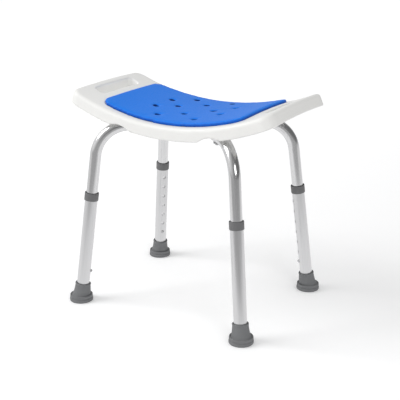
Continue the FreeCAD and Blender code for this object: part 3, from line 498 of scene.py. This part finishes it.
class STOOL_OT_pad(bpy.types.Operator):
    """Models the foam pad: soft edges, drain holes and a slight crown"""

    bl_idname = "stool.pad"
    bl_label = "Foam pad"

    def execute(self, context):
        sizes = context.scene.stool_sizes
        finishes = context.scene.stool_finishes
        pad = copied("seat_pad", "foam_pad")
        edit(pad)
        bpy.ops.mesh.remove_doubles(threshold=0.01 * MM)
        bpy.ops.transform.shrink_fatten(value=-sizes.foam_skin)
        done()
        add_modifier(pad, "REMESH", mode="VOXEL", voxel_size=sizes.foam_voxel)
        add_modifier(pad, "SMOOTH", factor=0.5, iterations=4)
        self.swell(context, pad, sizes.foam_swell)
        add_modifier(pad, "SUBSURF", levels=1, render_levels=1)
        self.drill(pad, sizes)
        smooth(pad, FOAM_ANGLE)

        foam = Finish("pad_foam", finishes.pad_colour, 0.72)
        foam.shader.inputs["Specular IOR Level"].default_value = 0.26
        foam.shade(14, 0.94).shade(650, 0.90, 2.0).gloss(300, 0.46, 0.60)
        # Painted shade on the pad's upright sides, by their normal.
        self.painted_side_shade(foam, finishes.pad_side_shade_colour)
        # Painted shade inside the drain holes, by distance from each hole's axis.
        self.painted_hole_shade(foam, sizes, finishes.hole_shade_colour)
        foam.relief(1100, 0.05 * MM, 2.0).relief(220, 0.05 * MM)
        paint(pad, foam.material)
        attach(pad, "seat")
        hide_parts("seat_pad")
        return {"FINISHED"}

    def painted_side_shade(self, foam, colour):
        """Paints shade on the upright sides of the pad: a deeper colour where the normal turns away
        from up, standing in for the shade that falls there.
        """
        normal = foam.nodes.new("ShaderNodeSeparateXYZ")
        foam.links.new(foam.facing, normal.inputs["Vector"])
        foam.blend(foam.spread(normal.outputs["Z"], 1.0, 0.0, 0.45, 0.80), colour)

    def painted_hole_shade(self, foam, sizes, colour):
        """Paints shade on the walls of the drain holes: a darker colour in a ring round each hole,
        standing in for the shade deep inside them.
        """
        fold = foam.nodes.new("ShaderNodeVectorMath")
        fold.operation = "ABSOLUTE"
        foam.links.new(foam.place, fold.inputs[0])
        flat = foam.nodes.new("ShaderNodeVectorMath")
        flat.operation = "MULTIPLY"
        flat.inputs[1].default_value = (1, 1, 0)
        foam.links.new(fold.outputs["Vector"], flat.inputs[0])
        nearest = None
        for place in ((0, sizes.drain_middle), (sizes.drain_side[0], 0),
                      tuple(sizes.drain_side), tuple(sizes.drain_end)):
            away = foam.nodes.new("ShaderNodeVectorMath")
            away.operation = "DISTANCE"
            away.inputs[1].default_value = (place[0], place[1], 0)
            foam.links.new(flat.outputs["Vector"], away.inputs[0])
            if nearest is None:
                nearest = away.outputs["Value"]
                continue
            least = foam.nodes.new("ShaderNodeMath")
            least.operation = "MINIMUM"
            foam.links.new(nearest, least.inputs[0])
            foam.links.new(away.outputs["Value"], least.inputs[1])
            nearest = least.outputs["Value"]
        edge = sizes.drain_radius
        foam.blend(foam.spread(nearest, 1.0, 0.0, edge + 0.4 * MM, edge + 1.1 * MM), colour)

    def drill(self, pad, sizes):
        """Cuts the drain holes clean through the foam."""
        middle, side, end = sizes.drain_middle, sizes.drain_side, sizes.drain_end
        places = [(0, middle), (0, -middle), (side[0], 0), (-side[0], 0)]
        for turn_x in (1, -1):
            for turn_y in (1, -1):
                places.append((turn_x * side[0], turn_y * side[1]))
                places.append((turn_x * end[0], turn_y * end[1]))
        low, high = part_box("seat_pad")
        nothing_selected()
        punches = []
        for place in places:
            bpy.ops.mesh.primitive_cylinder_add(
                vertices=HOLE_SIDES, radius=sizes.drain_radius, depth=high.z - low.z + 0.1,
                location=(place[0], place[1], (high.z + low.z) / 2))
            punches.append(bpy.context.object)
        nothing_selected()
        for punch in punches:
            punch.select_set(True)
        bpy.context.view_layer.objects.active = punches[0]
        bpy.ops.object.join()
        punch = bpy.context.object
        add_modifier(pad, "BOOLEAN", operation="DIFFERENCE", solver="EXACT", object=punch)
        bpy.data.objects.remove(punch)

    def swell(self, context, pad, most):
        """Presses the foam outwards as a cloth, and keeps the move under its limit."""
        rest = [vertex.co.copy() for vertex in pad.data.vertices]
        only(pad)
        modifier = pad.modifiers.new("Swell", "CLOTH")
        cloth = modifier.settings
        cloth.quality = 5
        cloth.use_pressure = True
        cloth.uniform_pressure_force = 4.0
        cloth.tension_stiffness = 15
        cloth.compression_stiffness = 15
        cloth.bending_stiffness = 0.5
        cloth.effector_weights.gravity = 0
        modifier.collision_settings.use_collision = False
        scene = context.scene
        for step in range(1, SWELL_FRAMES + 1):
            scene.frame_set(step)
        bpy.ops.object.modifier_apply(modifier=modifier.name)
        scene.frame_set(1)
        for vertex, start in zip(pad.data.vertices, rest):
            move = vertex.co - start
            limit = most if move.z > 0 else SIDE_MOVE
            if move.length > limit:
                move = move.normalized() * limit
            vertex.co = start + move


class STOOL_OT_feet(bpy.types.Operator):
    """Models the rubber feet: a slanted boot, a moat, a two-tier flange and tread rings"""

    bl_idname = "stool.feet"
    bl_label = "Rubber feet"

    def execute(self, context):
        sizes = context.scene.stool_sizes
        finishes = context.scene.stool_finishes
        splay = leg_turn(LEGS[0])[1]
        rings = []
        for along, radius in BOOT_PROFILE:
            rings.append((along_leg(along * MM, splay), radius * MM, -splay))
        centre, radius = BOOT_FOOT
        rings.append((centre * MM, radius * MM, -splay * BOOT_FOOT_LEAN))
        for level, radius in FLANGE_PROFILE:
            rings.append((Vector((0, 0, level * MM)), radius * MM, 0.0))
        boot = lofted("boot", rings, sizes.sides)
        smooth(boot, ROUND_ANGLE)

        rubber = Finish("foot_rubber", finishes.rubber_colour, 0.62)
        rubber.shader.inputs["Specular IOR Level"].default_value = 0.4
        rubber.shade(60, 0.90).shade(600, 0.92).gloss(120, 0.52, 0.74).relief(1300, 0.04 * MM)
        put_on_legs(boot, "foot_tip_", "leg_", lambda leg: rubber.material)
        return {"FINISHED"}


class STOOL_OT_collars(bpy.types.Operator):
    """Models the collars: a sleeve with an open rim over the lower tube's end"""

    bl_idname = "stool.collars"
    bl_label = "Collars"

    def execute(self, context):
        sizes = context.scene.stool_sizes
        finishes = context.scene.stool_finishes
        splay = leg_turn(LEGS[0])[1]
        rings = []
        for drop, radius in COLLAR_PROFILE:
            rings.append((along_leg((COLLAR_TOP - drop) * MM, splay), radius * MM, -splay))
        sleeve = lofted("sleeve", rings, sizes.sides, hollow=True)
        smooth(sleeve, ROUND_ANGLE)

        plastic = Finish("grey_plastic", finishes.trim_colour, 0.5)
        plastic.shade(80, 0.88).shade(700, 0.93).gloss(150, 0.42, 0.60).relief(1400, 0.03 * MM)
        put_on_legs(sleeve, "leg_collar_", "leg_", lambda leg: plastic.material)
        for leg in LEGS:
            paint_node("tube_end_plug_" + leg, plastic.material)
        return {"FINISHED"}


class STOOL_OT_tubes(bpy.types.Operator):
    """Models the bent upper tubes, and gives the lower tubes their satin finish"""

    bl_idname = "stool.tubes"
    bl_label = "Tubes"

    def execute(self, context):
        sizes = context.scene.stool_sizes
        finishes = context.scene.stool_finishes
        splay = leg_turn(LEGS[0])[1]
        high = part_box("upper_tube_" + LEGS[0])[1]
        inverse = leg_place(LEGS[0]).inverted()
        run_level = high.z - FLOOR_LEVEL - sizes.tube_radius
        solid = frame["nodes"]["upper_tube_" + LEGS[0]]
        ends = [inverse @ vertex.co for vertex in solid.data.vertices]
        run_end = min(point.x for point in ends)
        tail = min(point.dot(along_leg(1.0, splay)) for point in ends)
        centre = Vector((0, 0, run_level - sizes.bend_radius))
        centre.x = -math.tan(splay) * centre.z - sizes.bend_radius / math.cos(splay)
        path = [(along_leg(tail, splay), -splay)]
        sweep = math.pi / 2 - splay
        for step in range(BEND_STEPS + 1):
            angle = splay + sweep * step / BEND_STEPS
            out = Vector((math.cos(angle), 0, math.sin(angle)))
            path.append((centre + out * sizes.bend_radius, -angle))
        path.append((Vector((run_end, 0, run_level)), -math.pi / 2))
        outer = [(point, sizes.tube_radius, lean) for point, lean in path]
        inner = [(point, sizes.tube_radius - sizes.tube_wall, lean) for point, lean in path]
        tube = lofted("tube", outer + inner[::-1], sizes.sides, hollow=True)
        smooth(tube)

        def polished(leg):
            return tube_finish("polished_tube", leg, finishes.polished_colour, 0.16, 0.26, 0.90)

        put_on_legs(tube, "upper_tube_", "seat", polished)
        for leg in LEGS:
            paint_node("lower_tube_" + leg,
                       tube_finish("satin_tube", leg, finishes.satin_colour, 0.27, 0.37, 0.92))
        return {"FINISHED"}


class STOOL_OT_fasteners(bpy.types.Operator):
    """Finishes the screws, washers, inserts, snap buttons and their springs"""

    bl_idname = "stool.fasteners"
    bl_label = "Fasteners and buttons"

    def execute(self, context):
        zinc = Finish("screw_steel", (0.52, 0.52, 0.53), 0.35, Metallic=1.0)
        zinc.shade(300, 0.85).gloss(400, 0.26, 0.44).relief(1200, 0.02 * MM)
        brass = Finish("insert_brass", (0.62, 0.45, 0.17), 0.3, Metallic=1.0)
        brass.shade(300, 0.8).gloss(400, 0.24, 0.4).relief(1200, 0.02 * MM)
        button = Finish("button_steel", (0.60, 0.60, 0.61), 0.18, Metallic=1.0)
        button.shade(400, 0.9).gloss(300, 0.12, 0.26).relief(1500, 0.01 * MM)
        blued = Finish("spring_steel", (0.12, 0.13, 0.17), 0.34, Metallic=1.0)
        blued.shade(200, 0.7).gloss(300, 0.26, 0.42).relief(1200, 0.01 * MM)
        paint_node("leg_screws", zinc.material)
        paint_node("screw_washers", zinc.material)
        paint_node("threaded_inserts", brass.material)
        for leg in LEGS:
            paint_node("foot_washer_" + leg, zinc.material)
            paint_node("snap_button_" + leg, button.material)
            self.flexed(leg, blued.material)
        return {"FINISHED"}

    def flexed(self, leg, material):
        """Copies a leaf spring free of the frame, gives it its finish and hides the frame's spring."""
        spring = copied("snap_spring_" + leg, "leaf_spring_" + leg)
        paint(spring, material)
        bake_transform(spring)
        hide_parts("snap_spring_" + leg)


class STOOL_OT_stage(bpy.types.Operator):
    """Sets the floor, the light and the camera"""

    bl_idname = "stool.stage"
    bl_label = "Stage"

    def execute(self, context):
        stage = context.scene.stool_stage
        self.floor(stage)
        self.light(context.scene, stage)
        self.camera(context.scene, stage)
        return {"FINISHED"}

    def floor(self, stage):
        nothing_selected()
        bpy.ops.mesh.primitive_plane_add(
            size=FLOOR_SIZE, location=(0, 0, FLOOR_LEVEL - FLOOR_DROP))
        floor = bpy.context.object
        floor.name = "floor"
        finish = Finish("floor_finish", stage.floor_colour, 0.75)
        finish.shader.inputs["Specular IOR Level"].default_value = 0.15
        finish.shade(0.8, 0.995)
        self.bright_to_the_camera(finish, stage)
        paint(floor, finish.material)

    def bright_to_the_camera(self, finish, stage):
        """Lifts the floor to near white for the camera, and gives gloss a floor that ends in front."""
        toward = Vector((math.sin(stage.azimuth), -math.cos(stage.azimuth), 0))
        aside = Vector((toward.y, -toward.x, 0))
        front = self.falloff(finish, toward, stage.floor_front, FRONT_WIDTH, 0.0, 1.0)
        side = self.falloff(
            finish, aside, SIDE_START, SIDE_WIDTH, 0.0, SIDE_DARK, both_ways=True)
        dark = self.combined(finish, "MAXIMUM", front, side)
        level = finish.spread(dark, stage.floor_gloss, stage.floor_shadow, 0.0, 1.0)
        glossy = self.glow(finish, level)
        lift = self.falloff(
            finish, -toward, FAR_START, FAR_WIDTH, stage.floor_lift, stage.floor_far_lift)
        bright = self.glow(finish, lift)
        path = finish.nodes.new("ShaderNodeLightPath")
        both = finish.nodes.new("ShaderNodeAddShader")
        finish.links.new(finish.shader.outputs["BSDF"], both.inputs[0])
        finish.links.new(bright, both.inputs[1])
        seen = self.choice(finish, path.outputs["Is Camera Ray"],
                           finish.shader.outputs["BSDF"], both.outputs["Shader"])
        shown = self.choice(finish, path.outputs["Is Glossy Ray"], seen, glossy)
        clear = finish.nodes.new("ShaderNodeBsdfTransparent")
        below = finish.nodes.new("ShaderNodeNewGeometry").outputs["Backfacing"]
        open_below = self.choice(finish, below, shown, clear.outputs["BSDF"])
        finish.links.new(open_below, finish.nodes["Material Output"].inputs["Surface"])

    def falloff(self, finish, direction, start, width, low, high, both_ways=False):
        """Rises from low to high over a width, beyond a distance along a direction."""
        along = finish.nodes.new("ShaderNodeVectorMath")
        along.operation = "DOT_PRODUCT"
        along.inputs[1].default_value = direction
        finish.links.new(finish.place, along.inputs[0])
        value = along.outputs["Value"]
        if both_ways:
            size = finish.nodes.new("ShaderNodeMath")
            size.operation = "ABSOLUTE"
            finish.links.new(value, size.inputs[0])
            value = size.outputs["Value"]
        return finish.spread(value, low, high, start, start + width)

    def combined(self, finish, operation, first, second):
        node = finish.nodes.new("ShaderNodeMath")
        node.operation = operation
        finish.links.new(first, node.inputs[0])
        finish.links.new(second, node.inputs[1])
        return node.outputs["Value"]

    def glow(self, finish, strength):
        node = finish.nodes.new("ShaderNodeEmission")
        if isinstance(strength, float):
            node.inputs["Strength"].default_value = strength
        else:
            finish.links.new(strength, node.inputs["Strength"])
        return node.outputs["Emission"]

    def choice(self, finish, which, first, second):
        node = finish.nodes.new("ShaderNodeMixShader")
        finish.links.new(which, node.inputs["Fac"])
        finish.links.new(first, node.inputs[1])
        finish.links.new(second, node.inputs[2])
        return node.outputs["Shader"]

    def light(self, scene, stage):
        world = bpy.data.worlds.new("room")
        scene.world = world
        world.use_nodes = True
        tree = world.node_tree
        even = tree.nodes["Background"]
        even.inputs["Color"].default_value = (1.0, 1.0, 1.0, 1.0)
        even.inputs["Strength"].default_value = stage.sky_level
        white = tree.nodes.new("ShaderNodeBackground")
        white.inputs["Color"].default_value = (1.0, 1.0, 1.0, 1.0)
        white.inputs["Strength"].default_value = 1.0
        path = tree.nodes.new("ShaderNodeLightPath")
        mix = tree.nodes.new("ShaderNodeMixShader")
        tree.links.new(path.outputs["Is Camera Ray"], mix.inputs["Fac"])
        tree.links.new(even.outputs["Background"], mix.inputs[1])
        tree.links.new(white.outputs["Background"], mix.inputs[2])
        place = tree.nodes.new("ShaderNodeTexCoord")
        parts = tree.nodes.new("ShaderNodeSeparateXYZ")
        tree.links.new(place.outputs["Generated"], parts.inputs["Vector"])
        level = tree.nodes.new("ShaderNodeMapRange")
        level.inputs["From Min"].default_value = ROOM_LEFT[0]
        level.inputs["From Max"].default_value = ROOM_RIGHT[0]
        level.inputs["To Min"].default_value = ROOM_LEFT[1]
        level.inputs["To Max"].default_value = ROOM_RIGHT[1]
        tree.links.new(parts.outputs["X"], level.inputs["Value"])
        room = tree.nodes.new("ShaderNodeBackground")
        tree.links.new(level.outputs["Result"], room.inputs["Strength"])
        gloss = tree.nodes.new("ShaderNodeMixShader")
        tree.links.new(path.outputs["Is Glossy Ray"], gloss.inputs["Fac"])
        tree.links.new(mix.outputs["Shader"], gloss.inputs[1])
        tree.links.new(room.outputs["Background"], gloss.inputs[2])
        tree.links.new(gloss.outputs["Shader"], tree.nodes["World Output"].inputs["Surface"])
        self.lamp(scene, "main_lamp", (-2.0, -1.3, 2.3), 1.6, stage.key_power)
        self.lamp(scene, "fill_lamp", (2.3, -1.6, 1.5), 1.2, stage.fill_power)

    def lamp(self, scene, name, place, size, power):
        data = bpy.data.lights.new(name, "AREA")
        data.shape = "SQUARE"
        data.size = size
        data.energy = power
        lamp = bpy.data.objects.new(name, data)
        scene.collection.objects.link(lamp)
        lamp.location = place
        aim = AIM - Vector(place)
        lamp.rotation_euler = aim.to_track_quat("-Z", "Y").to_euler()

    def camera(self, scene, stage):
        data = bpy.data.cameras.new("view")
        data.lens = stage.lens
        data.sensor_width = 36
        camera = bpy.data.objects.new("view", data)
        scene.collection.objects.link(camera)
        camera.location = stage.camera_place
        camera.rotation_euler = (math.pi / 2 - stage.elevation, 0, stage.azimuth)
        scene.camera = camera
        scene.view_settings.view_transform = "Standard"


class STOOL_PT_sidebar(bpy.types.Panel):
    """The stool's pieces, in the order in which they are made"""

    bl_idname = "STOOL_PT_sidebar"
    bl_label = "Shower stool"
    bl_space_type = "VIEW_3D"
    bl_region_type = "UI"
    bl_category = "Stool"

    def draw(self, context):
        for group in (context.scene.stool_sizes, context.scene.stool_finishes,
                      context.scene.stool_stage):
            box = self.layout.box()
            for name in group.__annotations__:
                box.prop(group, name)
        for operator in PIECES:
            self.layout.operator(operator.bl_idname)


PIECES = (STOOL_OT_seat, STOOL_OT_pad, STOOL_OT_tubes, STOOL_OT_collars, STOOL_OT_feet,
          STOOL_OT_fasteners, STOOL_OT_stage)
GROUPS = (StoolSizes, StoolFinishes, StoolStage)


def register():
    for group in GROUPS:
        bpy.utils.register_class(group)
    for operator in PIECES:
        bpy.utils.register_class(operator)
    bpy.utils.register_class(STOOL_PT_sidebar)
    bpy.types.Scene.stool_sizes = bpy.props.PointerProperty(type=StoolSizes)
    bpy.types.Scene.stool_finishes = bpy.props.PointerProperty(type=StoolFinishes)
    bpy.types.Scene.stool_stage = bpy.props.PointerProperty(type=StoolStage)


def unregister():
    del bpy.types.Scene.stool_stage
    del bpy.types.Scene.stool_finishes
    del bpy.types.Scene.stool_sizes
    bpy.utils.unregister_class(STOOL_PT_sidebar)
    for operator in reversed(PIECES):
        bpy.utils.unregister_class(operator)
    for group in reversed(GROUPS):
        bpy.utils.unregister_class(group)


def main():
    register()
    bpy.ops.stool.seat()
    bpy.ops.stool.pad()
    bpy.ops.stool.tubes()
    bpy.ops.stool.collars()
    bpy.ops.stool.feet()
    bpy.ops.stool.fasteners()
    bpy.ops.stool.stage()


if __name__ == "__main__":
    main()
